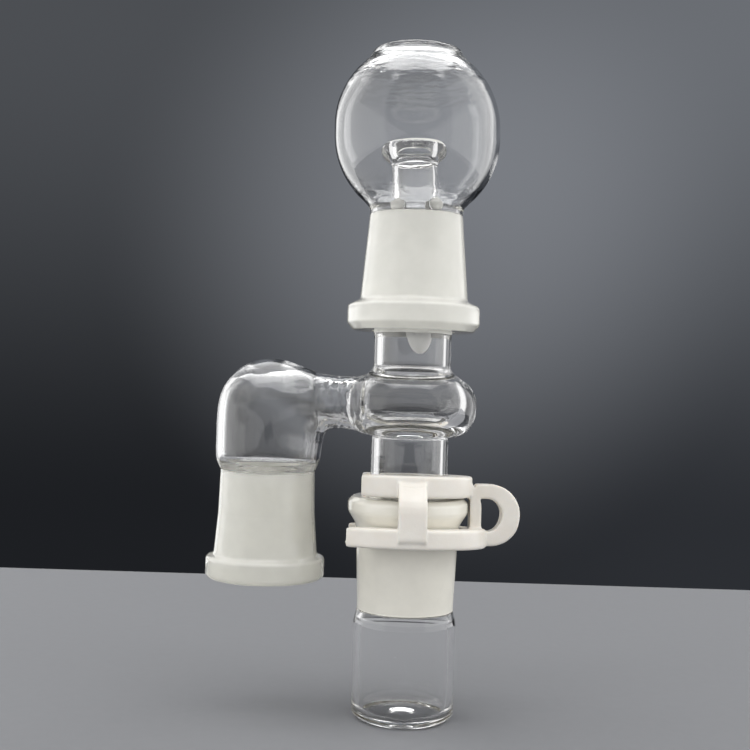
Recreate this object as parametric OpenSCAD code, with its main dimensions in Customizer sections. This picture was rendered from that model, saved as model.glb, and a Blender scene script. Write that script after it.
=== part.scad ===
// Receiver adapter: an adapter body of fused glass with two ground cones, a ring bulge and a side socket on an
// elbow. A receiver cup hangs on the lower cone, held by a joint clip, and a glass dome with a nail
// inside it stands on the upper cone. The cup's underside is at z = 0 on the main axis, and the side arm
// points along -X. Lengths are in millimetres.

/* [Ground joints] */
// Diameter of every cone and socket at its wide end
joint_d = 14.5; // [14:0.1:15.5]
// Diameter that a cone or socket loses for each millimetre of length
joint_taper = 0.1; // [0.08:0.005:0.12]
// Radial gap between a seated cone and its socket
joint_clear = 0.03; // [0.02:0.01:0.06]
// Ground length of both cones
cone_len = 22; // [20:0.2:25]
// Glass thickness of both cones
cone_wall = 1.15; // [0.9:0.05:1.4]

/* [Receiver cup] */
// Outer diameter of the cup
cup_d = 19; // [18:0.2:24]
// Height of the cup's straight side
cup_h = 16.8; // [12:0.1:40]
// Glass thickness of the cup's side
cup_wall = 1.3; // [0.9:0.1:1.8]
// Glass thickness of the cup's floor
cup_floor = 1.4; // [1:0.1:2.5]
// Height of the shoulder between the cup and its socket
cup_shoulder_h = 3.3; // [2:0.1:5]
// Outer diameter of the socket at the shoulder
cup_neck_d = 17.8; // [17.2:0.1:19]
// Outer diameter of the socket below its lip
cup_socket_d = 18.9; // [18.2:0.1:20]
// Length of the cone that stands past the cup's socket
cup_cone_past = 1.4; // [0:0.1:3]
// Outer diameter of the lip
cup_lip_d = 22.3; // [21:0.1:24]
// Height of the lip
cup_lip_h = 4.6; // [3.5:0.1:5]
// Diameter of the dimple in the middle of the floor
dimple_d = 3.2; // [2:0.1:5]
// Depth of that dimple
dimple_depth = 0.3; // [0.1:0.05:0.5]

/* [Adapter tube and bulge] */
// Outer diameter of the adapter's tube
tube_d = 14.3; // [13.8:0.1:14.8]
// Glass thickness of the tube
tube_wall = 1.3; // [1:0.1:1.6]
// Length of plain tube between the lower cone and the bulge
lower_tube_len = 10.7; // [8:0.1:20]
// Length of plain tube between the bulge and the upper cone
upper_tube_len = 6.7; // [4:0.1:15]
// Outer diameter of the ring bulge
bulge_d = 24.4; // [22:0.1:28]
// Depth of the bulge below its widest place
bulge_drop = 5.7; // [5.2:0.1:7]
// Height of the bulge's round part above its widest place
bulge_rise = 5; // [4:0.05:6]
// Height of the sloping shoulder over the round part
bulge_shoulder_h = 1.35; // [1:0.05:3]
// Glass thickness of the bulge at its widest place
bulge_wall = 2.85; // [1.8:0.05:3.2]
// Glass thickness of the bulge's top and bottom
bulge_floor = 2.3; // [1.8:0.1:2.5]

/* [Side arm and elbow] */
// Distance from the main axis to the side socket's axis
arm_reach = 26.2; // [25:0.1:34]
// Height of the arm's axis above the bulge's widest place
arm_lift = 0.25; // [0:0.05:1]
// Outer diameter of the arm at its waist
arm_d = 9.5; // [9:0.1:10.5]
// Glass thickness of the arm
arm_wall = 1.4; // [1:0.1:1.7]
// Distance from the main axis to the arm's waist
arm_waist = 12.7; // [12:0.1:15]
// Outer diameter of the arm where it spreads into the bulge
arm_root_d = 10.5; // [10:0.1:11]
// Outer diameter of the arm where it spreads into the elbow
arm_flare_d = 15.6; // [14:0.1:16.5]
// Outer diameter of the elbow
elbow_d = 19.5; // [19:0.1:21]
// Glass thickness of the elbow
elbow_wall = 1.1; // [0.8:0.05:1.4]
// Depth of the crown's centre below the arm's axis
crown_drop = 2; // [1:0.1:2.5]
// Height of the elbow's straight side, from its shoulder to its round crown
elbow_h = 8.4; // [7.5:0.1:12]
// Height of the shoulder between the elbow and the side socket
elbow_shoulder_h = 2.6; // [1.8:0.1:4]
// Outer diameter of the side socket at the shoulder
side_neck_d = 17.4; // [17:0.1:18.5]
// Outer diameter of the side socket at its flange
side_socket_d = 18.7; // [18:0.1:20]
// Length of the side socket, from its mouth to the shoulder
side_socket_len = 20; // [17:0.5:24]
// Outer diameter of the side socket's flange
side_flange_d = 22; // [21:0.1:25]
// Height of that flange
side_flange_h = 4.2; // [3:0.1:5]

/* [Dome] */
// Outer diameter of the globe
globe_d = 30.8; // [28:0.1:36]
// Glass thickness of the globe
globe_wall = 1; // [0.8:0.05:1.4]
// Height of the straight belt round the globe's middle
globe_belt_h = 1.9; // [0:0.1:4]
// Height of the shoulder between the socket and the round of the globe
globe_shoulder_h = 2.15; // [1.8:0.05:4]
// Length of the cone that stands past the dome's socket
dome_cone_past = 0; // [0:0.1:3]
// Outer diameter of the dome's socket at the globe
dome_neck_d = 17.1; // [16.8:0.1:18.5]
// Outer diameter of the dome's socket at its flange
dome_socket_d = 20; // [18.6:0.1:21]
// Outer diameter of the dome's flange
dome_flange_d = 24.6; // [23:0.1:27]
// Height of the dome's flange
dome_flange_h = 4.9; // [3.5:0.1:6]
// Outer diameter of the mouth's rolled lip
mouth_d = 16.4; // [15.4:0.1:18]
// Diameter of the mouth's opening
mouth_bore_d = 13; // [12.6:0.1:14]
// Height of the lip above the round of the globe
mouth_h = 2.3; // [1.8:0.1:4]

/* [Nail] */
// Outer diameter of the nail's stem
nail_stem_d = 8.5; // [7:0.1:8.6]
// Glass thickness of the stem
nail_wall = 0.85; // [0.7:0.05:1.2]
// Height of the dish's rim above the cone that carries the nail
nail_rise = 13.6; // [11:0.2:15]
// Outer diameter of the dish
dish_d = 12.1; // [11:0.1:12.4]
// Height of the dish's outside
dish_h = 3.9; // [3.5:0.1:5]
// Diameter of the bowl in the dish
bowl_d = 8; // [7:0.1:8.4]
// Depth of the bowl
bowl_depth = 2.5; // [2:0.1:3]
// Depth of the stem's straight part below the rim of the cone
nail_straight = 4; // [2:0.5:8]
// Depth of the nail's tip below the rim of the cone
nail_drop = 25.6; // [24:0.2:28]
// Diameter of the stem above its rounded tip
nail_tip_d = 5; // [4.2:0.1:5.5]
// Height of the rounded tip
nail_tip_h = 5; // [3:0.1:6]
// Diameter of each small pip that the nail rests on
pip_d = 2.2; // [1.8:0.1:2.4]
// Distance from the nail's axis to each pip's centre
pip_reach = 4.8; // [4.6:0.05:5]
// Angle at which the nail leans away from the side where two pips are off the rim
nail_lean = 3.2; // [0:0.1:3.6]
// Gap between the lowest pips and the rim
pip_gap = 0.03; // [0.02:0.01:0.1]

/* [Joint clip] */
// Height of each of the clip's two rings
ring_h = 3.5; // [2.5:0.1:4]
// Width of the upper ring's band
upper_ring_w = 4.3; // [3.5:0.1:5]
// Width of the lower ring's band
lower_ring_w = 4.7; // [3.8:0.1:5.5]
// Angle that is left open in both rings
clip_mouth = 84; // [70:1:100]
// Angle at which the clip leans back, with its front raised
clip_lean = 3; // [0:0.1:3.2]
// Gap between the leaning clip and the glass it holds
clip_clear = 0.06; // [0.04:0.01:0.2]
// Height that the rings leave free beyond the lip's height
ring_spare = 1.1; // [1:0.1:3]
// Width of the bows and of the finger loop
bow_w = 5; // [4:0.1:6]
// Thickness of the bows
bow_t = 2.1; // [1.6:0.1:2.4]
// Gap between the cup's lip and the two side bows
side_bow_gap = 1.75; // [1:0.05:2.5]
// Gap between the cup's lip and the bow inside the loop
back_bow_gap = 0.25; // [0.2:0.05:0.5]
// Depth of the finger loop's opening, beyond the bow inside it
loop_depth = 3.8; // [3:0.1:12]
// Height of the loop
loop_h = 10.9; // [10.5:0.1:12]
// Depth of the loop's middle below the clip's middle
loop_drop = 0.45; // [0:0.05:0.8]
// Thickness of the loop's two arms
loop_t = 2.65; // [2:0.05:3]
// Thickness of the loop's end
loop_end_t = 3.3; // [2.5:0.1:4.5]

/* [Hidden] */
$fn = 96;
arc_step = 15;    // degrees for each straight piece of a fillet
oval_step = 7.5;  // degrees for each straight piece of an oval
cut_past = 1;     // how far a hollow's cutter runs past an open end
edge_f = 0.35;    // fillet of a fire-polished edge
glass_f = 1;      // usual fillet where glass changes direction
lip_bevel = 1.8;  // width of the bevel round the cup's lip

half_taper = joint_taper / 2;
joint_r = joint_d / 2;
seat_rise = joint_clear / half_taper;   // a cone's wide end stays this far outside its socket
cone_tip_r = joint_r - half_taper * cone_len;

// Heights of the stack, from the cup's underside upwards
cup_neck_z = cup_h + cup_shoulder_h;
cup_socket_len = cone_len - cup_cone_past;
cup_top_z = cup_neck_z + cup_socket_len;
lower_cone_z = cup_top_z + seat_rise;                // wide end of the lower cone
bulge_low_z = lower_cone_z + lower_tube_len;
bulge_z = bulge_low_z + bulge_drop;                  // widest place of the bulge
bulge_top_z = bulge_z + bulge_rise + bulge_shoulder_h;
upper_cone_z = bulge_top_z + upper_tube_len;         // wide end of the upper cone
rim_z = upper_cone_z + cone_len;                     // rim that carries the nail
dome_z = upper_cone_z + seat_rise;                   // lower end of the dome
arm_z = bulge_z + arm_lift;

function unit(v) = v / norm(v);

// Points of an arc about a centre, from one point to another, the short way round
function arc_points(centre, first, last) =
    let (
        a = first - centre,
        b = last - centre,
        sweep = acos(min(1, a * b / (norm(a) * norm(b)))),
        steps = ceil(sweep / arc_step)
    )
    [for (i = [0 : steps])
        centre + (sin(sweep * (1 - i / steps)) * a + sin(sweep * i / steps) * b) / sin(sweep)];

// Points that round one corner with a fillet, kept within half of the shorter side
function corner(before, at, after, fillet) =
    let (
        back = unit(before - at),
        ahead = unit(after - at),
        half = acos(max(-1, min(1, back * ahead))) / 2,
        side = min(norm(before - at), norm(after - at)),
        reach = min(fillet / tan(half), 0.49 * side),
        centre = at + unit(back + ahead) * reach / cos(half)
    )
    arc_points(centre, at + back * reach, at + ahead * reach);

// A closed outline whose points are [radius, height] or [radius, height, fillet]
function rounded(path) =
    [for (i = [0 : len(path) - 1])
        let (
            n = len(path),
            at = [path[i][0], path[i][1]],
            before = [path[(i + n - 1) % n][0], path[(i + n - 1) % n][1]],
            after = [path[(i + 1) % n][0], path[(i + 1) % n][1]]
        )
        each (len(path[i]) < 3 ? [at] : corner(before, at, after, path[i][2]))];

// Points on an oval about a centre, from one angle to another
function oval(centre, wide, tall, from, to) =
    let (steps = ceil(abs(to - from) / oval_step))
    [for (i = [0 : steps])
        let (a = from + (to - from) * i / steps)
        centre + [wide * cos(a), tall * sin(a)]];

// 0 to 1 along a smooth S-shaped slope
function slope(t) = (1 - cos(180 * t)) / 2;

module turned(outline) {
    rotate_extrude() polygon(rounded(outline));
}

// ---- Receiver cup ----

module receiver_cup() {
    cup_r = cup_d / 2;
    inner_r = cup_r - cup_wall;
    neck_r = cup_neck_d / 2;
    body_r = cup_socket_d / 2;
    lip_r = cup_lip_d / 2;
    bore_r = joint_r - half_taper * cup_socket_len;
    lip_z = cup_top_z - cup_lip_h;
    color([0.80, 0.86, 0.88, 0.5])
    turned([
        [0, 0],
        [cup_r, 0, glass_f],
        [cup_r, cup_h, 2.5],
        [neck_r, cup_neck_z, 2.5],
        [body_r, lip_z - 0.3, 2],
        [lip_r, lip_z + 2.5, 1.5],
        [lip_r, cup_top_z - 1, 0.9],
        [lip_r - lip_bevel, cup_top_z, 1],
        [joint_r, cup_top_z, edge_f],
        [bore_r, cup_neck_z, glass_f],
        [inner_r, cup_h, 1.5],
        [inner_r, cup_floor, 1.8],
        [dimple_d / 2 + 0.6, cup_floor, 0.5],
        [dimple_d / 2 - 0.4, cup_floor - dimple_depth, 0.5],
        [0, cup_floor - dimple_depth]
    ]);
}

// ---- Adapter body ----

// Outside of the two cones, the tube between them and the ring bulge
module stem_outside() {
    tube_r = tube_d / 2;
    core_r = tube_r + 1.05;            // middle of the bulge's oval
    shoulder_a = 62;                   // where the sloping shoulder leaves the oval
    turned(concat(
        [
            [0, lower_cone_z - cone_len],
            [cone_tip_r, lower_cone_z - cone_len, edge_f],
            [joint_r, lower_cone_z, edge_f],
            [tube_r, lower_cone_z + 0.8, edge_f],
            [tube_r, bulge_low_z, 0.7]
        ],
        oval([core_r, bulge_z], bulge_d / 2 - core_r, bulge_drop, -90, 0),
        oval([core_r, bulge_z], bulge_d / 2 - core_r, bulge_rise, oval_step, shoulder_a),
        [
            [tube_r, bulge_top_z, 2],
            [tube_r, upper_cone_z - 0.8, edge_f],
            [joint_r, upper_cone_z, edge_f],
            [cone_tip_r, rim_z, edge_f],
            [0, rim_z]
        ]
    ));
}

// Hollow of the same parts, open at both ends
module stem_hollow() {
    bore_r = tube_d / 2 - tube_wall;
    tip_bore_r = cone_tip_r - cone_wall;
    bay_r = bulge_d / 2 - bulge_wall;
    bay_low_z = bulge_low_z + bulge_floor;
    bay_top_z = bulge_top_z - bulge_floor;
    bay_mid_z = (bay_low_z + bay_top_z) / 2;
    bay_core_r = bore_r + 0.5;
    turned(concat(
        [
            [0, lower_cone_z - cone_len - cut_past],
            [tip_bore_r, lower_cone_z - cone_len - cut_past],
            [tip_bore_r, lower_cone_z - cone_len],
            [bore_r, lower_cone_z, 3],
            [bore_r, bay_low_z, 0.8]
        ],
        oval([bay_core_r, bay_mid_z], bay_r - bay_core_r, bay_mid_z - bay_low_z, -90, 90),
        [
            [bore_r, bay_top_z, 0.8],
            [bore_r, upper_cone_z, 3],
            [tip_bore_r, rim_z],
            [tip_bore_r, rim_z + cut_past],
            [0, rim_z + cut_past]
        ]
    ));
}

// Radius of the arm's outside at a distance from the main axis
function arm_r(s) =
    s < arm_waist
    ? arm_d / 2 + (arm_root_d - arm_d) / 2 * slope((arm_waist - s) / (arm_waist - tube_d / 2))
    : arm_d / 2 + (arm_flare_d - arm_d) / 2 * slope((s - arm_waist) / (arm_reach - arm_waist));

// Arm between the bulge and the elbow, thinner all round by the glass that is asked for
module arm(less, from, to) {
    stretches = 12;
    step = (to - from) / stretches;
    translate([0, 0, arm_z]) rotate([0, -90, 0])
    rotate_extrude() polygon(concat(
        [[0, to], [0, from]],
        [for (i = [0 : stretches]) [arm_r(from + step * i) - less, from + step * i]]
    ));
}

module at_side() {
    translate([-arm_reach, 0, 0]) children();
}

// Outside of the elbow and the side socket
module side_outside() {
    elbow_r = elbow_d / 2;
    flange_top_z = side_mouth_z + side_flange_h;
    at_side() turned(concat(
        [
            [0, side_mouth_z],
            [side_flange_d / 2, side_mouth_z, glass_f],
            [side_flange_d / 2, flange_top_z - 0.3, 0.7],
            [side_socket_d / 2 + 0.2, flange_top_z + 0.3, 0.7],
            [(side_socket_d + side_neck_d) / 4 - 0.1, side_mouth_z + side_socket_len * 0.6, 4],
            [side_neck_d / 2, side_mouth_z + side_socket_len, 1.5],
            [elbow_r, elbow_low_z, 1.5]
        ],
        oval([0, crown_z], elbow_r, elbow_r, 0, 90)
    ));
}

// Hollow of the elbow and the side socket, open at the mouth
module side_hollow() {
    bay_r = elbow_d / 2 - elbow_wall;
    bore_r = joint_r - half_taper * side_socket_len;
    at_side() turned(concat(
        [
            [0, side_mouth_z - cut_past],
            [joint_r + edge_f, side_mouth_z - cut_past],
            [joint_r + edge_f, side_mouth_z],
            [joint_r, side_mouth_z + edge_f],
            [bore_r, side_mouth_z + side_socket_len, glass_f],
            [bay_r, elbow_low_z, 1.2]
        ],
        oval([0, crown_z], bay_r, bay_r, 0, 90)
    ));
}

crown_z = arm_z - crown_drop;                        // centre of the elbow's round crown
elbow_low_z = crown_z - elbow_h;
side_mouth_z = elbow_low_z - elbow_shoulder_h - side_socket_len;

module adapter_body() {
    arm_inside_bulge = tube_d / 2 - 0.6;
    color([0.84, 0.88, 0.90, 0.5])
    difference() {
        union() {
            stem_outside();
            side_outside();
            arm(0, arm_inside_bulge, arm_reach);
        }
        stem_hollow();
        side_hollow();
        arm(arm_wall, arm_inside_bulge - 2, arm_reach - 4);
    }
}

// ---- Dome ----

module dome() {
    globe_r = globe_d / 2;
    inner_r = globe_r - globe_wall;
    mouth_r = mouth_d / 2;
    mouth_bore_r = mouth_bore_d / 2;
    dome_socket_len = cone_len - dome_cone_past;
    socket_top_z = dome_z + dome_socket_len;
    flange_top_z = dome_z + dome_flange_h;
    bore_r = joint_r - half_taper * dome_socket_len;
    low_r = dome_neck_d / 2 + 1.35;    // the round of the globe starts at this radius
    high_r = mouth_r + 1.4;            // and ends at this one, under the lip
    low_a = acos(low_r / globe_r);
    high_a = acos(high_r / globe_r);
    low_centre = [0, socket_top_z + globe_shoulder_h + globe_r * sin(low_a)];
    high_centre = low_centre + [0, globe_belt_h];
    lip_z = high_centre[1] + globe_r * sin(high_a) + mouth_h;
    inner_low_a = acos((bore_r + 2.25) / inner_r);
    inner_high_a = acos((mouth_bore_r + 1.1) / inner_r);
    color([0.86, 0.90, 0.92, 0.5])
    turned(concat(
        [
            [joint_r, dome_z, edge_f],
            [dome_flange_d / 2 - 1.1, dome_z, 0.5],
            [dome_flange_d / 2, dome_z + 1.3, 0.8],
            [dome_flange_d / 2, flange_top_z - 0.3, 0.7],
            [dome_socket_d / 2, flange_top_z + 0.8, 0.9],
            [dome_neck_d / 2, socket_top_z + 0.65, 1.5]
        ],
        oval(low_centre, globe_r, globe_r, -low_a, 0),
        oval(high_centre, globe_r, globe_r, 0, high_a),
        [
            [mouth_r + 0.5, lip_z - 1.3, 1],
            [mouth_r, lip_z, 0.9],
            [mouth_bore_r, lip_z, 0.7],
            [mouth_bore_r, lip_z - 0.7 * mouth_h, 0.7]
        ],
        oval(high_centre, inner_r, inner_r, inner_high_a, 0),
        oval(low_centre, inner_r, inner_r, 0, -inner_low_a),
        [[bore_r, socket_top_z, glass_f]]
    ));
}

// ---- Nail ----

// The nail in its own frame: z = 0 is the plane of the rim that carries it
module nail_shape() {
    stem_r = nail_stem_d / 2;
    hollow_r = stem_r - nail_wall;
    dish_r = dish_d / 2;
    bowl_r = bowl_d / 2;
    tip_r = nail_tip_d / 2;
    dish_z = nail_rise - dish_h;
    bowl_z = nail_rise - bowl_depth;
    tip_top_z = nail_tip_h - nail_drop;
    hollow_end_r = tip_r - nail_wall;
    difference() {
        union() {
            turned(concat(
                oval([0, tip_top_z], tip_r, nail_tip_h, -90, 0),
                [
                    [stem_r, -nail_straight, 6],
                    [stem_r, dish_z, 0.8],
                    [dish_r, dish_z + 1.8, 1],
                    [dish_r, nail_rise, 0.95],
                    [bowl_r, nail_rise, 0.9],
                    [bowl_r - 0.5, bowl_z, 1],
                    [0, bowl_z]
                ]
            ));
            for (a = [45 : 90 : 315])
                rotate([0, 0, a]) translate([pip_reach, 0, pip_z]) sphere(d = pip_d);
        }
        turned([
            [0, tip_top_z + 1],
            [hollow_end_r, tip_top_z + 1, 0.5],
            [hollow_r, -nail_straight, 6],
            [hollow_r, bowl_z - 1, 0.8],
            [0, bowl_z - 1]
        ]);
    }
}

// Height of the pips' centres, so that the two lowest just clear the rim
pip_z = (pip_d / 2 + pip_gap + pip_reach * cos(45) * sin(nail_lean)) / cos(nail_lean);

module nail() {
    color([0.88, 0.91, 0.92, 0.6])
    translate([0, 0, rim_z]) rotate([0, -nail_lean, 0]) nail_shape();
}

// ---- Joint clip ----

ring_gap = cup_lip_h + ring_spare;                   // distance between the two rings
clip_h = 2 * ring_h + ring_gap;
// Slack that a leaning ring needs at its far edge, measured from the clip's middle height
lean_slack = clip_h / 2 * sin(clip_lean) + clip_clear;
upper_bore_r = tube_d / 2 + lean_slack;
lower_bore_r = cup_socket_d / 2 + lean_slack;
upper_ring_r = upper_bore_r + upper_ring_w;
lower_ring_r = lower_bore_r + lower_ring_w;
side_bow_r = cup_lip_d / 2 + side_bow_gap + bow_t;   // reach of the side bows' outside
back_bow_r = cup_lip_d / 2 + back_bow_gap + bow_t;
bow_turn = 88;                                       // angle from the loop to each side bow
// The upper ring's underside clears the lip's flat top on its low side
clip_mid_z = cup_top_z + clip_clear - ring_gap / 2 + (cup_lip_d / 2 - lip_bevel) * sin(clip_lean);

// A ring with its opening towards -X
module open_ring(outer_r, bore_r, z) {
    translate([0, 0, z]) rotate([0, 0, clip_mouth / 2 - 180])
    rotate_extrude(angle = 360 - clip_mouth)
    polygon(rounded([
        [bore_r, 0, 0.3],
        [outer_r, 0, 0.4],
        [outer_r, ring_h, 0.4],
        [bore_r, ring_h, 0.3]
    ]));
}

// A bow that joins the two rings, bulging out to a radius
module bow(reach, turn) {
    top_z = clip_h / 2 - 0.7;
    low_z = 0.9 - clip_h / 2;
    inner_r = reach - bow_t;
    rotate([0, 0, turn]) rotate([90, 0, 0])
    linear_extrude(bow_w, center = true)
    polygon(rounded([
        [upper_ring_r - bow_t, top_z],
        [upper_ring_r - 0.4, top_z, 0.6],
        [reach, ring_gap / 2 - 1.2, 4],
        [reach, low_z, 1],
        [inner_r, low_z],
        [inner_r, ring_gap / 2 - 1.8, 3],
        [min(inner_r, upper_ring_r - 0.6), ring_gap / 2 + 0.1]
    ]));
}

// Finger loop along +X
module loop() {
    gap_h = loop_h - 2 * loop_t;
    gap_end = back_bow_r + loop_depth;
    end_x = gap_end + loop_end_t;
    root = back_bow_r - bow_t / 2;
    translate([0, 0, -loop_drop]) rotate([90, 0, 0]) linear_extrude(bow_w, center = true)
    difference() {
        union() {
            translate([end_x - loop_h / 2, 0]) circle(d = loop_h);
            translate([root, -loop_h / 2]) square([end_x - loop_h / 2 - root, loop_h]);
        }
        translate([gap_end - gap_h / 2, 0]) circle(d = gap_h);
        translate([0, -gap_h / 2]) square([gap_end - gap_h / 2, gap_h]);
    }
}

module joint_clip() {
    color([0.95, 0.94, 0.91])
    translate([0, 0, clip_mid_z]) rotate([-clip_lean, 0, 0])
    difference() {
        union() {
            open_ring(upper_ring_r, upper_bore_r, ring_gap / 2);
            open_ring(lower_ring_r, lower_bore_r, -clip_h / 2);
            bow(side_bow_r, -bow_turn);
            bow(side_bow_r, bow_turn);
            bow(back_bow_r, 0);
            loop();
        }
        translate([0, 0, -clip_h]) cylinder(r = upper_bore_r, h = 2 * clip_h);
        translate([0, 0, -clip_h]) cylinder(r = lower_bore_r, h = clip_h);
    }
}

adapter_body();
dome();
nail();
receiver_cup();
joint_clip();
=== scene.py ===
import math

import bmesh
import bpy
from mathutils import Matrix, Vector
from mathutils.bvhtree import BVHTree


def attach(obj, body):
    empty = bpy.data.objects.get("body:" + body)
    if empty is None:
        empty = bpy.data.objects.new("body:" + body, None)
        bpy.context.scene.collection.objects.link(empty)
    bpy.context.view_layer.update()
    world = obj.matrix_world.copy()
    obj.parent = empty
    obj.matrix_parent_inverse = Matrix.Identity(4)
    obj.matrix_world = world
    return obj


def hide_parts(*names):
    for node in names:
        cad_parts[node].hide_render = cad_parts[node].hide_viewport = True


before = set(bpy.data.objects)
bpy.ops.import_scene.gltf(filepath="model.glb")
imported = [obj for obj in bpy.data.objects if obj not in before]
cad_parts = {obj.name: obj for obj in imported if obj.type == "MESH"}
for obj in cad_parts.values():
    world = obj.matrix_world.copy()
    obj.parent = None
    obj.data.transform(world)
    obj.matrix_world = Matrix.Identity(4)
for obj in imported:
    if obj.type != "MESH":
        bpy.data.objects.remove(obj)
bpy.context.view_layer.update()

mm = 0.001  # lengths below are in mm


# A box's two corners in mm, for the print lines
def inMm(box):
    return [[round(v / mm, 3) for v in corner] for corner in box]


view = {
    "place": (-6.78, -211.5, 61.5),
    "pitch": 0.42,             # degrees up
    "roll": 1.74,              # degrees, what it sees turns clockwise
    "lens": 54.58, "sensor": 36.0,
    "near": 10, "far": 20000,  # nothing nearer or further is drawn
}

camData = bpy.data.cameras.new("camera")
camData.lens = view["lens"]
camData.sensor_width = view["sensor"]
camData.clip_start = view["near"] * mm
camData.clip_end = view["far"] * mm
camera = bpy.data.objects.new("camera", camData)
bpy.context.scene.collection.objects.link(camera)
camera.location = Vector(view["place"]) * mm
camera.rotation_euler = (math.radians(90 + view["pitch"]), math.radians(-view["roll"]), 0)
bpy.context.scene.camera = camera
print("camera placed")


# An sRGB hex code as a linear colour with alpha
def linear(code):
    values = [int(code[i:i + 2], 16) / 255 for i in (1, 3, 5)]
    return [v / 12.92 if v <= 0.04045 else ((v + 0.055) / 1.055) ** 2.4 for v in values] + [1.0]


# A node with its settings. links gives inputs a socket or a value, and out is the output that comes back
def addNode(tree, kind, links=None, out=0, **settings):
    node = tree.nodes.new("ShaderNode" + kind)
    for key, value in settings.items():
        setattr(node, key, value)
    for key, value in (links or {}).items():
        if isinstance(value, bpy.types.NodeSocket):
            tree.links.new(value, node.inputs[key])
        else:
            node.inputs[key].default_value = value
    return node.outputs if out is None else node.outputs[out]


def newMaterial(name):
    material = bpy.data.materials.new(name)
    material.use_nodes = True
    material.node_tree.nodes.clear()
    return material, material.node_tree


board = {
    "colour": "#808184", "roughness": 0.75,
    "backEdge": 147.0, "front": 1200.0, "side": 260.0,  # how far it reaches from the object
    "gap": 0.03,                                        # below the glass, so that no faces fight
    "grain": 2.5, "mottle": 0.03,                       # size of the faint mottling, and its strength
}


# Painted board, rolled on: matt, with a faint mottling in tone
def makeFloor(f):
    bm = bmesh.new()
    bmesh.ops.create_grid(bm, x_segments=1, y_segments=1, size=0.5)
    depth = f["backEdge"] + f["front"]
    bmesh.ops.scale(bm, vec=(2 * f["side"] * mm, depth * mm, 1), verts=bm.verts)
    bmesh.ops.translate(bm, vec=(0, (f["backEdge"] - depth / 2) * mm, -f["gap"] * mm), verts=bm.verts)
    mesh = bpy.data.meshes.new("floor")
    bm.to_mesh(mesh)
    bm.free()
    obj = bpy.data.objects.new("floor", mesh)
    bpy.context.scene.collection.objects.link(obj)
    material, tree = newMaterial("painted_board_rolled_matt")
    where = addNode(tree, "TexCoord", out="Object")
    mottle = addNode(tree, "TexNoise", {"Vector": where, "Scale": 1 / (f["grain"] * mm), "Detail": 3.0})
    tone = addNode(tree, "MapRange", {
        "Value": mottle, "To Min": 1 - f["mottle"], "To Max": 1 + f["mottle"]})
    colour = addNode(tree, "VectorMath", {0: linear(f["colour"])[:3], 3: tone}, operation="SCALE")
    shader = addNode(tree, "BsdfPrincipled", {"Base Color": colour, "Roughness": f["roughness"]})
    addNode(tree, "OutputMaterial", {"Surface": shader}, out=None)
    mesh.materials.append(material)


makeFloor(board)
print("floor laid")

# The studio is all in the world. A grey backdrop, darker below, has a soft pool of light. A tall panel
# stands at each side, a large soft light is high in front, and two tubes hang overhead. Places and edges
# are parts of a unit direction: x to the right, y to the back and z up. Each edge is soft, from one
# figure to the other
studio = {
    "low": "#26282C", "high": "#5E6166", "haze": (-0.12, 0.30),
    "dim": 0.65, "bright": 1.30, "sweep": (-0.2, 0.3),  # the backdrop's strength at the left and the right
    "pool": "#585A5E", "poolAt": (0.05, 1, 0.12), "poolReach": (0.05, 0.30),
    "front": "#F1F1F3", "rear": (-0.1, 0.1),  # the room behind the camera, and where the backdrop starts
    # Lamps are dimmer to the eye, straight on or through the glass, so that the glass shows before them
    "key": 1.06, "keySeen": 0.70, "keyRise": (0.16, 0.40), "keyFade": (0.74, 0.84),
    "panel": 1.75, "panelSeen": 0.95, "panelTop": (0.72, 0.80), "panelRest": 0.25,
    # Both panels start at frontEdge, before the object, and end behind it at an edge each
    "frontEdge": (0.68, 0.76), "leftEdge": (0.34, 0.50), "rightEdge": (0.62, 0.74),
    "behind": (-0.25, 0.25), "toRight": (-0.01, 0.01),
    # The tubes run along x, tubesGap either side of tubesAt
    "tubes": 4.4, "tubesAt": -0.15, "tubesGap": 0.15, "tubesWide": (0.05, 0.08), "tubesRise": (0.50, 0.66),
    # Only polished glass shows these two: a strip at the left and a broad lamp overhead
    "strip": 2.4, "stripAt": -0.90, "stripWide": (0.045, 0.075),
    "sky": 4.4, "skyAt": 0.2, "skyWide": (0.41, 0.49), "skyRise": (0.50, 0.58),
    "overhead": (0.38, 0.50),  # how far the tubes and the overhead lamp reach to either side
}


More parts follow.
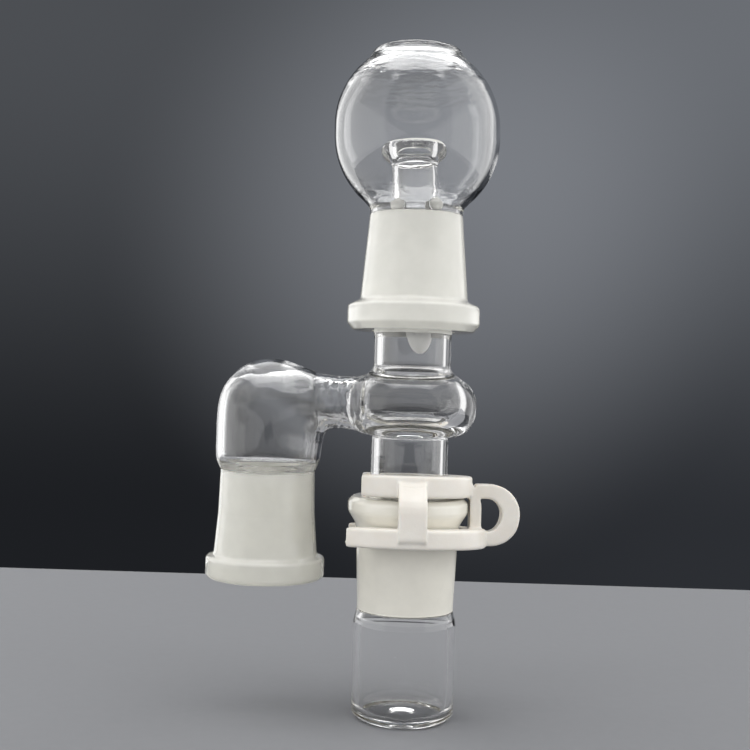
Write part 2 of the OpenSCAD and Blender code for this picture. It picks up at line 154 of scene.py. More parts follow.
def makeWorld(s):
    world = bpy.data.worlds.new("studio")
    bpy.context.scene.world = world
    world.use_nodes = True
    tree = world.node_tree
    tree.nodes.clear()
    direction = addNode(tree, "TexCoord", out="Generated")
    x, y, z = addNode(tree, "SeparateXYZ", {0: direction}, out=None)
    flat = addNode(tree, "CombineXYZ", {0: x, 1: y})
    reach = addNode(tree, "VectorMath", {0: flat}, out="Value", operation="LENGTH")
    across = addNode(tree, "Math", {0: x, 1: reach}, operation="DIVIDE")
    aside = addNode(tree, "VectorMath", {0: direction, 1: s["poolAt"]}, out="Value", operation="DISTANCE")
    away = {"x": x, "y": y, "across": across}
    for name, source, middle in (
            ("side", "across", 0), ("overhead", "x", 0),
            ("tubesMiddle", "y", s["tubesAt"]), ("tubes", "tubesMiddle", s["tubesGap"]),
            ("strip", "across", s["stripAt"]), ("sky", "y", s["skyAt"])):
        offset = addNode(tree, "Math", {0: away[source], 1: middle}, operation="SUBTRACT")
        away[name] = addNode(tree, "Math", {0: offset}, operation="ABSOLUTE")
    ramps = {}
    for name, value, edges, ends in (
            ("height", z, s["haze"], (0, 1)),
            ("across", across, s["sweep"], (s["dim"], s["bright"])),
            ("pool", aside, s["poolReach"], (1, 0)),
            ("rear", y, s["rear"], (0, 1)),
            ("keyRise", z, s["keyRise"], (0, 1)),
            ("keyFade", z, s["keyFade"], (1, 0)),
            ("behind", y, s["behind"], (0, 1)),
            ("toRight", x, s["toRight"], (0, 1)),
            ("frontPanel", away["side"], s["frontEdge"], (0, 1)),
            ("leftPanel", away["side"], s["leftEdge"], (0, 1)),
            ("rightPanel", away["side"], s["rightEdge"], (0, 1)),
            ("panelTop", z, s["panelTop"], (1, s["panelRest"])),
            ("overhead", away["overhead"], s["overhead"], (1, 0)),
            ("tubesRise", z, s["tubesRise"], (0, 1)),
            ("tubes", away["tubes"], s["tubesWide"], (1, 0)),
            ("strip", away["strip"], s["stripWide"], (1, 0)),
            ("sky", away["sky"], s["skyWide"], (1, 0)),
            ("skyRise", z, s["skyRise"], (0, 1))):
        ramps[name] = addNode(tree, "MapRange", {
            "Value": value, "From Min": edges[0], "From Max": edges[1],
            "To Min": ends[0], "To Max": ends[1]}, interpolation_type="SMOOTHSTEP")
    backdrop = addNode(tree, "Mix", {0: ramps["height"], 6: linear(s["low"]), 7: linear(s["high"])},
                       out=2, data_type="RGBA")
    backdrop = addNode(tree, "VectorMath", {0: backdrop, 3: ramps["across"]}, operation="SCALE")
    pool = addNode(tree, "VectorMath", {0: linear(s["pool"])[:3], 3: ramps["pool"]}, operation="SCALE")
    backdrop = addNode(tree, "VectorMath", {0: backdrop, 1: pool}, operation="ADD")
    path = addNode(tree, "LightPath", out=None)
    # Rays that have met no matt face yet
    unlit = addNode(tree, "Math", {0: path["Diffuse Depth"], 1: 0.5}, operation="LESS_THAN")
    seen = addNode(tree, "Math", {0: path["Is Camera Ray"], 1: path["Is Transmission Ray"]},
                   operation="MAXIMUM")
    seen = addNode(tree, "Math", {0: seen, 1: unlit}, operation="MULTIPLY")
    polished = addNode(tree, "Math", {0: path["Is Singular Ray"], 1: unlit}, operation="MULTIPLY")
    level = {lamp: [s[lamp]] * 3 + [1] for lamp in (
        "key", "keySeen", "panel", "panelSeen", "tubes", "strip", "sky")}
    for lamp in ("key", "panel"):
        level[lamp] = addNode(tree, "Mix", {0: seen, 6: level[lamp], 7: level[lamp + "Seen"]},
                              out=2, data_type="RGBA")
    rear = addNode(tree, "Mix", {0: ramps["toRight"], 2: ramps["leftPanel"], 3: ramps["rightPanel"]})
    panels = addNode(tree, "Mix", {0: ramps["behind"], 2: ramps["frontPanel"], 3: rear})
    shapes = {}
    for lamp, shape, *limits in (
            ("key", ramps["keyRise"], ramps["keyFade"]),
            ("panel", panels, ramps["panelTop"]),
            ("tubes", ramps["tubesRise"], ramps["overhead"], ramps["tubes"]),
            ("strip", ramps["strip"], ramps["rear"], ramps["panelTop"], polished),
            ("sky", ramps["sky"], ramps["skyRise"], ramps["overhead"], polished)):
        for limit in limits:
            shape = addNode(tree, "Math", {0: shape, 1: limit}, operation="MULTIPLY")
        shapes[lamp] = shape
    front = addNode(tree, "Mix", {0: shapes["key"], 6: linear(s["front"]), 7: level["key"]},
                    out=2, data_type="RGBA")
    whole = addNode(tree, "Mix", {0: ramps["rear"], 6: front, 7: backdrop}, out=2, data_type="RGBA")
    for lamp in ("panel", "tubes", "strip", "sky"):
        whole = addNode(tree, "Mix", {0: shapes[lamp], 6: whole, 7: level[lamp]}, out=2, data_type="RGBA")
    shader = addNode(tree, "Background", {"Color": whole, "Strength": 1.0})
    addNode(tree, "OutputWorld", {"Surface": shader}, out=None)


makeWorld(studio)
bpy.context.scene.view_settings.view_transform = "Standard"
# Light crosses up to a dozen glass faces on its way through the joints
bounces = {"max_bounces": 32, "transmission_bounces": 32, "glossy_bounces": 16}
for name, most in bounces.items():
    setattr(bpy.context.scene.cycles, name, most)
print("light set")

noiseSpan = (0.35, 0.65)  # most of a noise texture's values lie between these

# Borosilicate glass, n 1.47: clear and flame polished, so it shows its edges and what is behind it.
# Ground joints are cut with a fine grit: white and matt, slightly warm, with a cloudy unevenness
glassLook = {
    "ior": 1.47, "clear": "#FFFFFF",
    "ground": {"receiver_cup": "#FFFCF1", "dome": "#FFFEF8", "adapter": "#FDFCF5", "nail": "#FFFEF8"},
    "cloud": 0.95, "cloudSize": 3.5,       # the darker clouds' share of the tone
    "grit": 0.35, "gritHeight": 0.02,      # the real grit is 0.05 mm, drawn coarser so that it shows
    "ripple": 7.0, "rippleHeight": 0.018,  # faint waves that drawn tube always has
    "flameFade": 1.2,                      # the flamed waves fade out over this
}

# Where a piece is ground: the axis's x, low and high z, least and most radius, the roughness, and how
# milky it is. A socket is ground on its inside. Its outside stays polished, with the milk showing through
grounds = {
    "receiver_cup": [(0, 20.0, 42, 0, 7.6, 0.6, 0.95), (0, 20.0, 42, 7.6, 12, 0.0, 0.8)],
    "dome": [(0, 71, 92.8, 0, 7.7, 0.6, 0.95), (0, 71, 92.8, 7.7, 12.6, 0.0, 0.45)],
    "adapter": [(0, 19, 41.15, 6.05, 8, 0.6, 0.95), (0, 70.9, 92.9, 6.05, 8, 0.6, 0.95),
                (-26.2, 24, 44.6, 0, 7.7, 0.6, 0.75), (-26.2, 24, 44.6, 7.7, 11.2, 0.0, 0.32)],
    "nail": [(0, 92.5, 97.2, 4.62, 7, 0.6, 0.95), (0, 105.85, 107, 3.9, 6.2, 0.6, 0.95),
             (0, 66, 72.2, 0, 3.5, 0.4, 0.95)],
}

# Where glass was worked in the flame it keeps fine waves: low and high x, low and high z, the length of
# a wave along x, y and z, and its height
flamed = {
    "receiver_cup": [],
    "dome": [(-20, 20, 115.6, 124, (3, 3, 0.8), 0.13), (-20, 20, 93.6, 98.4, (3, 3, 1.0), 0.12)],
    "adapter": [(-19, -8.5, 50, 65, (1.1, 3, 3), 0.16), (-13, 13, 50, 53.5, (4, 4, 1.2), 0.05),
                (-36, -17, 58, 66, (5, 3, 1.5), 0.07)],
    "nail": [(-8, 8, 100, 107, (3, 3, 1.0), 0.05)],
}


def glass(piece, g=glassLook):
    material, tree = newMaterial("borosilicate_glass_flame_polished_" + piece)
    where = addNode(tree, "TexCoord", out="Object")
    axes = addNode(tree, "SeparateXYZ", {0: where}, out=None)
    mask = milk = roughness = None
    for x, low, high, inner, outer, matt, milky in grounds[piece]:
        sideways = addNode(tree, "Math", {0: axes[0], 1: x * mm}, operation="SUBTRACT")
        flat = addNode(tree, "CombineXYZ", {0: sideways, 1: axes[1]})
        radius = addNode(tree, "VectorMath", {0: flat}, out="Value", operation="LENGTH")
        part = None
        for value, limit, test in ((radius, inner, "GREATER_THAN"), (radius, outer, "LESS_THAN"),
                                   (axes[2], low, "GREATER_THAN"), (axes[2], high, "LESS_THAN")):
            inside = addNode(tree, "Math", {0: value, 1: limit * mm}, operation=test)
            part = addNode(tree, "Math", {0: part, 1: inside}, operation="MULTIPLY") if part else inside
        mask = addNode(tree, "Math", {0: mask or 0.0, 1: part}, operation="MAXIMUM")
        milk = addNode(tree, "Math", {0: part, 1: milky, 2: milk or 0.0}, operation="MULTIPLY_ADD")
        roughness = addNode(tree, "Math", {0: part, 1: matt, 2: roughness or 0.0},
                            operation="MULTIPLY_ADD")
    cloud = addNode(tree, "TexNoise", {"Vector": where, "Scale": 1 / (g["cloudSize"] * mm), "Detail": 4.0})
    cloudy = addNode(tree, "MapRange", {"Value": cloud, "From Min": noiseSpan[0], "From Max": noiseSpan[1],
                                        "To Min": 1.0, "To Max": g["cloud"]})
    ground = addNode(tree, "VectorMath", {0: linear(g["ground"][piece])[:3], 3: cloudy}, operation="SCALE")
    colour = addNode(tree, "Mix", {0: mask, 6: linear(g["clear"]), 7: ground}, out=2, data_type="RGBA")
    clear = addNode(tree, "Math", {0: 1.0, 1: milk}, operation="SUBTRACT")
    ripple = addNode(tree, "TexNoise", {"Vector": where, "Scale": 1 / (g["ripple"] * mm), "Detail": 0.0})
    height = addNode(tree, "Math", {0: ripple, 1: g["rippleHeight"]}, operation="MULTIPLY")
    grit = addNode(tree, "TexNoise", {"Vector": where, "Scale": 1 / (g["grit"] * mm), "Detail": 1.0})
    grit = addNode(tree, "Math", {0: grit, 1: roughness}, operation="MULTIPLY")
    height = addNode(tree, "Math", {0: grit, 1: g["gritHeight"], 2: height}, operation="MULTIPLY_ADD")
    for lowX, highX, lowZ, highZ, waves, tall in flamed[piece]:
        stretched = addNode(tree, "Mapping", {
            "Vector": where, "Scale": [1 / (length * mm) for length in waves]})
        wave = addNode(tree, "TexNoise", {"Vector": stretched, "Scale": 1.0, "Detail": 1.0})
        for value, low, high in ((axes[0], lowX, highX), (axes[2], lowZ, highZ)):
            for start, full in ((low, low + g["flameFade"]), (high, high - g["flameFade"])):
                fade = addNode(tree, "MapRange", {
                    "Value": value, "From Min": start * mm, "From Max": full * mm},
                    interpolation_type="SMOOTHSTEP")
                wave = addNode(tree, "Math", {0: wave, 1: fade}, operation="MULTIPLY")
        height = addNode(tree, "Math", {0: wave, 1: tall, 2: height}, operation="MULTIPLY_ADD")
    bump = addNode(tree, "Bump", {"Height": height, "Distance": mm, "Strength": 1.0})
    shader = addNode(tree, "BsdfPrincipled", {
        "Base Color": colour, "Roughness": roughness, "IOR": g["ior"], "Transmission Weight": clear,
        "Normal": bump})
    addNode(tree, "OutputMaterial", {"Surface": shader}, out=None)
    return material


# Acetal, injection moulded: off-white and slightly waxy, so light bleeds a little into its edges.
# The mould leaves a satin face with fine spark-eroded pits and slow changes of gloss
clipLook = {
    "pale": "#E8E4DC", "deep": "#E4DFD6", "patch": 3.5,
    "satin": 0.34, "dull": 0.46, "ior": 1.48,  # the least and the most roughness
    "bleed": 0.25, "bleedReach": 0.9, "bleedRGB": (1.0, 0.85, 0.65),
    "pit": 0.30, "pitHeight": 0.015,           # real pits are 0.1 mm, drawn coarser so that they show
}


def acetal(c=clipLook):
    material, tree = newMaterial("acetal_injection_moulded_satin")
    where = addNode(tree, "TexCoord", out="Object")
    patch = addNode(tree, "TexNoise", {"Vector": where, "Scale": 1 / (c["patch"] * mm), "Detail": 3.0})
    patch = addNode(tree, "MapRange", {"Value": patch, "From Min": noiseSpan[0], "From Max": noiseSpan[1]})
    colour = addNode(tree, "Mix", {0: patch, 6: linear(c["pale"]), 7: linear(c["deep"])},
                     out=2, data_type="RGBA")
    gloss = addNode(tree, "MapRange", {"Value": patch, "To Min": c["satin"], "To Max": c["dull"]})
    pits = addNode(tree, "TexNoise", {"Vector": where, "Scale": 1 / (c["pit"] * mm), "Detail": 1.0})
    bump = addNode(tree, "Bump", {"Height": pits, "Distance": c["pitHeight"] * mm, "Strength": 1.0})
    shader = addNode(tree, "BsdfPrincipled", {
        "Base Color": colour, "Roughness": gloss, "IOR": c["ior"], "Subsurface Weight": c["bleed"],
        "Subsurface Radius": c["bleedRGB"], "Subsurface Scale": c["bleedReach"] * mm, "Normal": bump})
    addNode(tree, "OutputMaterial", {"Surface": shader}, out=None)
    return material


# How finely shapes are drawn
fineness = {
    "arcStep": 3, "leastSteps": 4,   # degrees of arc to a step, and the fewest steps that an arc has
    "rounding": 6, "turn": 96,       # steps of a rounding and of a full turn
    "longest": 1.2, "spacing": 1.0,  # an edge longer than the first is cut to the second
    "merge": 0.001,                  # points closer together than this are one
    "sharp": 40,                     # degrees, past which an edge looks sharp
}


# A closed wire in the XZ plane through path's points: (r, z), (r, z, rounding), or
# ("arc", r, z, wide, tall, from, to), an oval stretch about (r, z) between two angles
def drawOutline(bm, path):
    chain = []
    for step in path:
        if step[0] == "arc":
            r, z, wide, tall, first, final = step[1:]
            hub = Vector((r, 0, z)) * mm
            angle = math.radians(first)
            start = bm.verts.new(hub + Vector((math.cos(angle), 0, math.sin(angle))) * mm)
            known = set(bm.verts)
            steps = max(fineness["leastSteps"], round(abs(final - first) / fineness["arcStep"]))
            bmesh.ops.spin(bm, geom=[start], cent=hub, axis=(0, -1, 0),
                           angle=math.radians(final - first), steps=steps)
            arc = [start] + [v for v in bm.verts if v not in known]
            bmesh.ops.scale(bm, vec=(wide, 1, tall), space=Matrix.Translation(-hub), verts=arc)
            chain.append((arc[0], arc[-1], 0))
        else:
            v = bm.verts.new((step[0] * mm, 0, step[1] * mm))
            chain.append((v, v, step[2] * mm if len(step) > 2 else 0))
    count = len(chain)
    corners = []
    for i, (v, _, rounding) in enumerate(chain):
        if rounding:
            back = chain[i - 1][1].co - v.co
            ahead = chain[(i + 1) % count][0].co - v.co
            half = back.angle(ahead) / 2
            room = 0.49 * min(back.length, ahead.length)  # just under half of the shorter edge
            corners.append((v, min(rounding / math.tan(half), room)))
    for i in range(count):
        bm.edges.new((chain[i][1], chain[(i + 1) % count][0]))
    for v, reach in corners:
        bmesh.ops.bevel(bm, geom=[v], offset=reach, offset_type="OFFSET", segments=fineness["rounding"],
                        profile=0.5, affect="VERTICES")
    for line in [e for e in bm.edges if e.calc_length() > fineness["longest"] * mm]:
        cuts = int(line.calc_length() / (fineness["spacing"] * mm))
        bmesh.ops.subdivide_edges(bm, edges=[line], cuts=cuts)


# A closed outline turned about Z
def turned(path):
    bm = bmesh.new()
    drawOutline(bm, path)
    bmesh.ops.spin(bm, geom=bm.verts[:] + bm.edges[:], cent=(0, 0, 0), axis=(0, 0, 1),
                   angle=math.tau, steps=fineness["turn"], use_merge=True)
    bmesh.ops.remove_doubles(bm, verts=bm.verts, dist=fineness["merge"] * mm)
    bmesh.ops.recalc_face_normals(bm, faces=bm.faces)
    return bm


def addPiece(name, bm, node, material):
    mesh = bpy.data.meshes.new(name)
    bm.to_mesh(mesh)
    bm.free()
    mesh.shade_smooth()
    mesh.set_sharp_from_angle(angle=math.radians(fineness["sharp"]))
    mesh.materials.append(material)
    obj = bpy.data.objects.new(name, mesh)
    bpy.context.scene.collection.objects.link(obj)
    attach(obj, "root")
    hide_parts(node)
    print(name, len(mesh.polygons), "faces", *inMm([obj.dimensions]))


# All ground joints: diameter at the wide end, taper, length, the cones' wall, the rounding at their
# ends, and the height of the step from a cone up to its tube
joint = {"d": 14.5, "taper": 0.1, "len": 22.0, "wall": 1.15, "edge": 0.35, "step": 0.8}
jointR = joint["d"] / 2
halfTaper = joint["taper"] / 2
tipR = jointR - halfTaper * joint["len"]
edge = joint["edge"]

cup = {
    "r": 9.5, "h": 17.5, "wall": 1.3, "floor": 0.85, "neckR": 8.9, "neckZ": 20.1,
    "footRound": 1.5, "insideRound": 2.0, "dimpleR": 2.6, "dimple": 0.45,
    "bodyR": 9.5, "lipR": 11.15, "lipH": 5.6, "lipSwell": 2.9, "topZ": 40.7, "bevel": 0.9,
}


def cupPath(c):
    innerR = c["r"] - c["wall"]
    boreR = jointR - halfTaper * (c["topZ"] - c["neckZ"])
    lipZ = c["topZ"] - c["lipH"]
    return [
        (0, 0), (c["r"], 0, c["footRound"]), (c["r"], c["h"], 2), (c["neckR"], c["neckZ"], 2),
        (c["bodyR"], lipZ - 0.3, 3), (c["bodyR"] + 0.3, lipZ + 0.75, 2),
        (c["lipR"], lipZ + c["lipSwell"], 1.6), (c["lipR"], c["topZ"] - c["bevel"], 0.9),
        (c["lipR"] - c["bevel"], c["topZ"], 0.6), (jointR, c["topZ"], edge), (boreR, c["neckZ"], 0.5),
        (innerR - 0.6, c["neckZ"] - 0.4, 0.5), (innerR, c["neckZ"] - 1.8, 1.5),
        (innerR, c["floor"], c["insideRound"]), (c["dimpleR"], c["floor"] + 0.1, 1),
        (c["dimpleR"] - 1, c["floor"] - c["dimple"], 1), (0, c["floor"] - c["dimple"])]


addPiece("receiver_cup_glass", turned(cupPath(cup)), "receiver_cup", glass("receiver_cup"))

dome = {
    "z": 71.35, "flangeR": 12.3, "flangeH": 4.9, "bevel": (1.1, 1.3), "socketR": 10.0, "neckR": 8.55,
    "globeR": 15.39, "wall": 0.9, "shoulder": 2.15, "belt": 1.9, "ledge": 1.3,
    "mouthR": 8.2, "boreR": 6.5, "mouthH": 2.3,
    # How much wider than neck and mouth the globe is where it starts and ends, outside and inside
    "neckFlare": 1.35, "mouthFlare": 1.4, "neckFlareIn": 2.7, "mouthFlareIn": 1.1,
    # The globe was blown a little off the socket's axis, and its wall is thinner on one side
    "lean": 0.0215, "thin": 0.35, "thinH": 28,
}


def domePath(d):
    innerR = d["globeR"] - d["wall"]
    topZ = d["z"] + joint["len"]
    lowA = math.acos((d["neckR"] + d["neckFlare"]) / d["globeR"])
    highA = math.acos((d["mouthR"] + d["mouthFlare"]) / d["globeR"])
    lowZ = topZ + d["shoulder"] + d["globeR"] * math.sin(lowA)
    highZ = lowZ + d["belt"]
    lipZ = highZ + d["globeR"] * math.sin(highA) + d["mouthH"]
    innerLow = math.acos((tipR + d["neckFlareIn"]) / innerR)
    innerHigh = math.acos((d["boreR"] + d["mouthFlareIn"]) / innerR)
    flangeTop = d["z"] + d["flangeH"]
    bevelR, bevelZ = d["bevel"]
    lowA, highA, innerLow, innerHigh = [math.degrees(a) for a in (lowA, highA, innerLow, innerHigh)]
    return [
        (jointR, d["z"], edge), (d["flangeR"] - bevelR, d["z"], 0.5), (d["flangeR"], d["z"] + bevelZ, 0.8),
        (d["flangeR"], flangeTop - 0.3, 0.7), (d["socketR"], flangeTop + 0.8, 0.9),
        (d["neckR"], topZ + 0.65, 1.5),
        ("arc", 0, lowZ, d["globeR"], d["globeR"], -lowA, 0),
        ("arc", 0, highZ, d["globeR"], d["globeR"], 0, highA),
        (d["mouthR"] + 0.5, lipZ - 1.3, 1), (d["mouthR"], lipZ, 0.9), (d["boreR"], lipZ, 0.7),
        (d["boreR"], lipZ - 0.7 * d["mouthH"], 0.7),
        ("arc", 0, highZ, innerR, innerR, innerHigh, 0),
        ("arc", 0, lowZ, innerR, innerR, 0, -innerLow),
        (tipR + d["ledge"], topZ + 0.55, 1.2), (tipR + d["ledge"], topZ - 0.5, 0.3),
        (tipR, topZ - 0.75, 0.3)]


def makeDome(d):
    bm = turned(domePath(d))
    bm.normal_update()
    neckZ = (d["z"] + joint["len"]) * mm
    inner = [v for v in bm.verts if v.normal.x * v.co.x + v.normal.y * v.co.y < 0]
    for v in bm.verts:
        v.co.x -= d["lean"] * max(0, v.co.z - neckZ)
    for v in inner:
        share = min(1, max(0, (v.co.z - neckZ) / (d["thinH"] * mm)))
        v.co.x -= d["thin"] * mm * math.sin(math.pi * share) ** 2
    return bm


addPiece("dome_glass", makeDome(dome), "dome", glass("dome"))

# Heights are from the rim that carries the nail
nail = {
    "rimZ": 92.75, "rise": 13.6, "drop": 25.6, "stemR": 4.25, "wall": 0.85, "straight": 4.0,
    "dishR": 6.05, "dishH": 3.9, "dishSwell": 1.6, "bevel": (0.7, 0.8),
    "bowlR": 4.0, "bowlDepth": 2.5, "tipR": 2.5, "tipH": 5.0,
    "pips": 4, "pipR": 1.35, "pipH": 1.55, "pipReach": 4.8, "pipGap": 0.03, "pipSides": (20, 14),
    "lean": 3.2,  # degrees, as far as its slack lets it
}


def makeNail(n):
    hollowR = n["stemR"] - n["wall"]
    dishZ = n["rise"] - n["dishH"]
    bowlZ = n["rise"] - n["bowlDepth"]
    tipZ = n["tipH"] - n["drop"]
    bevelR, bevelZ = n["bevel"]
    bm = turned([
        (0, -n["drop"]), ("arc", 0, tipZ, n["tipR"], n["tipH"], -87, 0),
        (n["stemR"], -n["straight"], 6), (n["stemR"], dishZ, 0.8),
        (n["dishR"], dishZ + n["dishSwell"], 1.4), (n["dishR"], n["rise"] - bevelZ, 0.9),
        (n["dishR"] - bevelR, n["rise"], 0.7), (n["bowlR"], n["rise"], 0.5),
        (n["bowlR"] - bevelR, bowlZ, 1.2), (0, bowlZ)])
    hollow = turned([
        (0, tipZ + 1), (n["tipR"] - n["wall"], tipZ + 1, 0.5), (hollowR, -n["straight"], 6),
        (hollowR, bowlZ - 1, 0.8), (0, bowlZ - 1)])
    bmesh.ops.reverse_faces(hollow, faces=hollow.faces)
    mesh = bpy.data.meshes.new("hollow")
    hollow.to_mesh(mesh)
    hollow.free()
    bm.from_mesh(mesh)
    lean = math.radians(n["lean"])
    # High enough for the lowest pips to clear the rim when the nail leans
    dip = n["pipReach"] * math.cos(math.pi / n["pips"]) * math.sin(lean)
    pipZ = (n["pipH"] + n["pipGap"] + dip) / math.cos(lean)
    stretch = Matrix.Diagonal((1, 1, n["pipH"] / n["pipR"], 1))
    for turn in range(n["pips"]):
        angle = math.radians((turn + 0.5) * 360 / n["pips"])
        place = Vector((math.cos(angle) * n["pipReach"], math.sin(angle) * n["pipReach"], pipZ)) * mm
        bmesh.ops.create_uvsphere(bm, u_segments=n["pipSides"][0], v_segments=n["pipSides"][1],
                                  radius=n["pipR"] * mm, matrix=Matrix.Translation(place) @ stretch)
    bmesh.ops.transform(bm, verts=bm.verts, matrix=Matrix.Translation((0, 0, n["rimZ"] * mm))
                        @ Matrix.Rotation(-lean, 4, "Y"))
    return bm


addPiece("nail_glass", makeNail(nail), "nail", glass("nail"))

stem = {
    "tubeR": 7.15, "wall": 1.3, "lowerZ": 41.3, "upperZ": 70.75, "lowTube": 10.7,
    "drop": 5.7, "rise": 5.0, "bulgeR": 12.2, "bulgeWall": 2.85, "bulgeFloor": 2.3,
    "shoulderH": 1.35, "shoulderA": (3, 62),  # its arc's two angles
    "core": 1.05, "coreIn": 0.5,  # how far outside tube and bore the bulge's arcs have their centre
}

side = {
    "x": -26.2, "mouthZ": 24.95, "len": 20.0, "neckR": 8.7, "socketR": 9.35,
    "flangeR": 10.985, "flangeH": 4.2, "bendAt": 0.6,  # the share of the length where its sides bend
    # Elbow and arm: the corners of each ring, and how often they are subdivided
    "corners": 24, "levels": 2,
    # Their rings, on the glass's outside and inside: x and z at the outer side of the bend, x and z at
    # its inner side, and half the width
    "outside": [
        (-34.75, 44.2, -17.65, 44.2, 8.55), (-35.15, 45.3, -17.25, 45.3, 8.95),
        (-35.75, 46.4, -16.8, 46.3, 9.5), (-35.97, 47.8, -16.5, 47.6, 9.72),
        (-35.97, 50.4, -16.3, 49.6, 9.75), (-35.97, 53.6, -16.1, 51.1, 9.75),
        (-35.9, 56.2, -15.85, 51.9, 9.75), (-35.55, 58.4, -15.5, 52.35, 9.75),
        (-34.75, 60.6, -15.05, 52.65, 9.65), (-33.1, 62.7, -14.6, 52.82, 9.45),
        (-30.6, 64.6, -14.1, 52.92, 8.8), (-27.5, 65.65, -13.7, 52.9, 7.9),
        (-24.2, 65.6, -13.2, 52.95, 7.0), (-21.0, 64.55, -12.7, 52.95, 6.25),
        (-18.0, 63.4, -12.1, 52.9, 5.7), (-15.0, 62.72, -11.4, 52.85, 5.25),
        (-12.0, 62.6, -10.4, 52.75, 5.0), (-9.0, 62.8, -8.8, 52.6, 5.15), (-6.5, 62.9, -6.5, 52.5, 5.2)],
    "inside": [
        (-32.45, 44.6, -19.95, 44.6, 6.25), (-32.8, 45.5, -19.6, 45.5, 6.6),
        (-34.1, 46.1, -18.35, 46.1, 7.9), (-34.8, 46.9, -17.7, 46.9, 8.5),
        (-34.9, 48.6, -17.55, 48.6, 8.65), (-34.9, 51.2, -17.4, 50.8, 8.65),
        (-34.88, 54.2, -17.2, 52.1, 8.65), (-34.75, 57.2, -16.8, 52.9, 8.65),
        (-34.05, 59.9, -16.2, 53.4, 8.5), (-32.3, 62.1, -15.5, 53.8, 8.1),
        (-29.6, 63.3, -14.8, 54.0, 7.5), (-26.4, 63.6, -14.1, 54.1, 6.7),
        (-23.1, 63.55, -13.4, 54.1, 5.8), (-20.1, 63.05, -12.7, 54.1, 5.1),
        (-17.0, 62.15, -11.9, 54.05, 4.4), (-14.0, 61.5, -11.0, 54.0, 3.9),
        (-11.5, 61.3, -9.8, 53.9, 3.75), (-8.0, 61.5, -8.0, 53.8, 3.8), (-4.0, 61.6, -4.0, 53.8, 3.9)],
    "weld": 1.1, "weldRounds": 12,  # reach and softness of the seam where arm and bulge are fused
}


# A closed tube through rings, each an oval between two points of the XZ plane
def sweptRings(rings, count):
    bm = bmesh.new()
    # Subdivision draws a ring of this many corners in by the same share everywhere, so it starts larger
    grow = 3 / (2 + math.cos(math.tau / count))
    last = None
    for x, z, innerX, innerZ, width in rings:
        across = Vector((x - innerX, 0, z - innerZ)) * (grow / 2)
        middle = Vector((x + innerX, 0, z + innerZ)) / 2
        along = across.cross((0, 1, 0)).normalized()
        oval = Matrix((across, (0, width * grow, 0), along)).transposed().to_4x4()
        ring = bmesh.ops.create_circle(bm, cap_ends=False, segments=count, radius=1,
                                       matrix=Matrix.Scale(mm, 4) @ Matrix.Translation(middle) @ oval)
        # In their order round the ring, so that every run gives the same mesh
        edges = list(dict.fromkeys(
            e for v in ring["verts"] for e in v.link_edges if e.other_vert(v) in ring["verts"]))
        if last:
            bmesh.ops.bridge_loops(bm, edges=last + edges)
        else:
            bmesh.ops.edgeloop_fill(bm, edges=edges)
        last = edges
    bmesh.ops.edgeloop_fill(bm, edges=last)
    bmesh.ops.recalc_face_normals(bm, faces=bm.faces)
    return bm


def makeStem(b):
    low = b["lowerZ"] + b["lowTube"]
    mid = low + b["drop"]
    top = mid + b["rise"] + b["shoulderH"]
    rim = b["upperZ"] + joint["len"]
    tip = b["lowerZ"] - joint["len"]
    core = b["tubeR"] + b["core"]
    outside = turned([
        (0, tip), (tipR, tip, edge), (jointR, b["lowerZ"], edge),
        (b["tubeR"], b["lowerZ"] + joint["step"], edge), (b["tubeR"], low, 0.7),
        ("arc", core, mid, b["bulgeR"] - core, b["drop"], -90, 0),
        ("arc", core, mid, b["bulgeR"] - core, b["rise"], *b["shoulderA"]), (b["tubeR"], top, 2),
        (b["tubeR"], b["upperZ"] - joint["step"], edge), (jointR, b["upperZ"], edge),
        (tipR, rim, edge), (0, rim)])
    boreR = b["tubeR"] - b["wall"]
    tipBore = tipR - joint["wall"]
    bayR = b["bulgeR"] - b["bulgeWall"]
    bayLow, bayTop = low + b["bulgeFloor"], top - b["bulgeFloor"]
    bayMid = (bayLow + bayTop) / 2
    bayCore = boreR + b["coreIn"]
    hollow = turned([
        (0, tip - 1), (tipBore, tip - 1), (tipBore, tip), (boreR, b["lowerZ"], 3), (boreR, bayLow, 0.8),
        ("arc", bayCore, bayMid, bayR - bayCore, bayMid - bayLow, -90, 90),
        (boreR, bayTop, 0.8), (boreR, b["upperZ"], 3), (tipBore, rim), (tipBore, rim + 1), (0, rim + 1)])
    return outside, hollow


def makeSocket(b):
    mouth = b["mouthZ"]
    top = mouth + b["len"]
    flangeTop = mouth + b["flangeH"]
    boreR = jointR - halfTaper * b["len"]
    outside = turned([
        (0, mouth), (b["flangeR"], mouth, 1), (b["flangeR"], flangeTop - 0.3, 0.7),
        (b["socketR"] + 0.2, flangeTop + 0.3, 0.7),
        ((b["socketR"] + b["neckR"]) / 2 - 0.1, mouth + b["len"] * b["bendAt"], 4),
        (b["neckR"], top, 0.3), (b["neckR"] - 0.6, top + edge), (0, top + edge)])
    hollow = turned([
        (0, mouth - 1), (jointR + edge, mouth - 1), (jointR + edge, mouth), (jointR, mouth + edge),
        (boreR, top), (boreR - 0.3, top + 0.3), (0, top + 0.3)])
    for bm in (outside, hollow):
        bmesh.ops.translate(bm, vec=(b["x"] * mm, 0, 0), verts=bm.verts)
    return outside, hollow


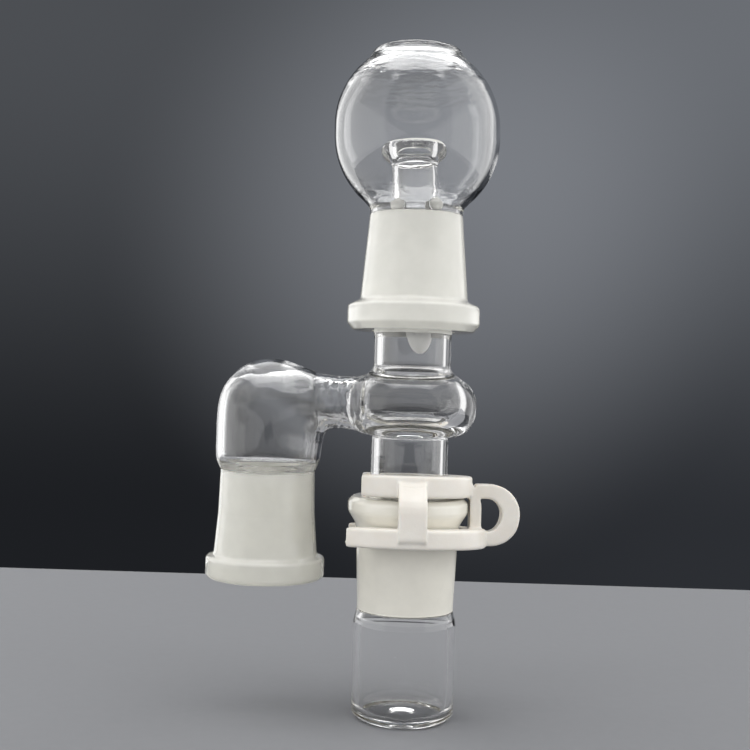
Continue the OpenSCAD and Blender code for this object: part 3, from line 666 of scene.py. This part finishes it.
# The solids joined and the hollows cut out of them. A part named in levels is subdivided first
def carve(solids, hollows, levels):
    objs = []
    for name, bm in list(solids.items()) + list(hollows.items()):
        mesh = bpy.data.meshes.new(name)
        bm.to_mesh(mesh)
        bm.free()
        obj = bpy.data.objects.new(name, mesh)
        bpy.context.scene.collection.objects.link(obj)
        if name in levels:
            smooth = obj.modifiers.new("smooth", "SUBSURF")
            smooth.levels = smooth.render_levels = levels[name]
        objs.append(obj)
    for obj in objs[1:]:
        cut = objs[0].modifiers.new("cut", "BOOLEAN")
        cut.operation = "UNION" if obj.name in solids else "DIFFERENCE"
        cut.solver = "MANIFOLD"
        cut.object = obj
    depsgraph = bpy.context.evaluated_depsgraph_get()
    result = bmesh.new()
    result.from_object(objs[0], depsgraph)
    trees = {obj.name: BVHTree.FromObject(obj, depsgraph) for obj in objs[1:]}
    objs[0].modifiers.clear()
    depsgraph.update()
    trees[objs[0].name] = BVHTree.FromObject(objs[0], depsgraph)
    for obj in objs:
        bpy.data.objects.remove(obj)
    bmesh.ops.remove_doubles(result, verts=result.verts, dist=fineness["merge"] * mm)
    return result, trees


def soften(bm, verts, rounds):
    for _ in range(rounds):
        bmesh.ops.smooth_vert(bm, verts=verts, factor=0.5,
                              use_axis_x=True, use_axis_y=True, use_axis_z=True)


# Softens the crease where two surfaces meet, within reach of both
def fuse(bm, first, second, reach, rounds):
    near = [v for v in bm.verts
            if all(tree.find_nearest(v.co)[3] < reach * mm for tree in (first, second))]
    soften(bm, near, rounds)


def makeBody():
    stemOut, stemIn = makeStem(stem)
    socketOut, socketIn = makeSocket(side)
    armOut, armIn = [sweptRings(side[rings], side["corners"]) for rings in ("outside", "inside")]
    bm, trees = carve({"stemOut": stemOut, "socketOut": socketOut, "armOut": armOut},
                      {"stemIn": stemIn, "socketIn": socketIn, "armIn": armIn},
                      {"armOut": side["levels"], "armIn": side["levels"]})
    for face in ("Out", "In"):
        fuse(bm, trees["stem" + face], trees["arm" + face], side["weld"], side["weldRounds"])
    return bm


addPiece("adapter_glass", makeBody(), "adapter_body", glass("adapter"))

clip = {
    "voxel": 0.2, "rounds": 4,  # the mould's edges are rounded by about a voxel
    # The lower ring's two ends, beyond endX and below endZ, reach a little further. Below highZ it slopes
    # a little more than the upper ring, fully so from lowZ down
    "endX": -9.0, "endZ": 35.9, "stretch": 1.25, "lowZ": 35.5, "highZ": 38.0, "sag": 0.030,
    # The upper ring's lower edge drops at the front: its middle's height and slope, half its height, how
    # many of those down a point still moves, its radius, the drop, and the y where that starts and its run
    "ringZ": 43.0, "slope": 0.0524, "half": 1.6, "below": 1.2, "ringR": 12.4,
    "drop": 0.42, "dropY": 2, "dropRun": 8,
}


# The moulded clip, from the CAD node's own mesh with its doubles merged and its edges softened
def makeClip(c):
    mesh = bpy.data.meshes.new("clipSource")
    bm = bmesh.new()
    bm.from_mesh(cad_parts["joint_clip"].data)
    bmesh.ops.remove_doubles(bm, verts=bm.verts, dist=fineness["merge"] * mm)
    bm.to_mesh(mesh)
    obj = bpy.data.objects.new("clipSource", mesh)
    bpy.context.scene.collection.objects.link(obj)
    remesh = obj.modifiers.new("remesh", "REMESH")
    remesh.mode = "VOXEL"
    remesh.voxel_size = c["voxel"] * mm
    bm.clear()
    bm.from_object(obj, bpy.context.evaluated_depsgraph_get())
    bpy.data.objects.remove(obj)
    soften(bm, bm.verts, c["rounds"])
    ends = [v for v in bm.verts if v.co.x < c["endX"] * mm and v.co.z < c["endZ"] * mm]
    bmesh.ops.scale(bm, vec=(c["stretch"], 1, 1), verts=ends,
                    space=Matrix.Translation((-c["endX"] * mm, 0, 0)))
    front = min(v.co.y for v in bm.verts)
    for v in bm.verts:
        fall = min(1, max(0, (c["highZ"] * mm - v.co.z) / ((c["highZ"] - c["lowZ"]) * mm)))
        v.co.z -= (v.co.y - front) * c["sag"] * fall
        deep = (c["ringZ"] * mm - v.co.y * c["slope"] - v.co.z) / (c["half"] * mm)
        if 0 < deep < c["below"] and math.hypot(v.co.x, v.co.y) < c["ringR"] * mm:
            ahead = min(1, max(0, (c["dropY"] * mm - v.co.y) / (c["dropRun"] * mm)))
            v.co.z -= c["drop"] * mm * min(1, deep) * ahead
    return bm


addPiece("joint_clip_moulded", makeClip(clip), "joint_clip", acetal())
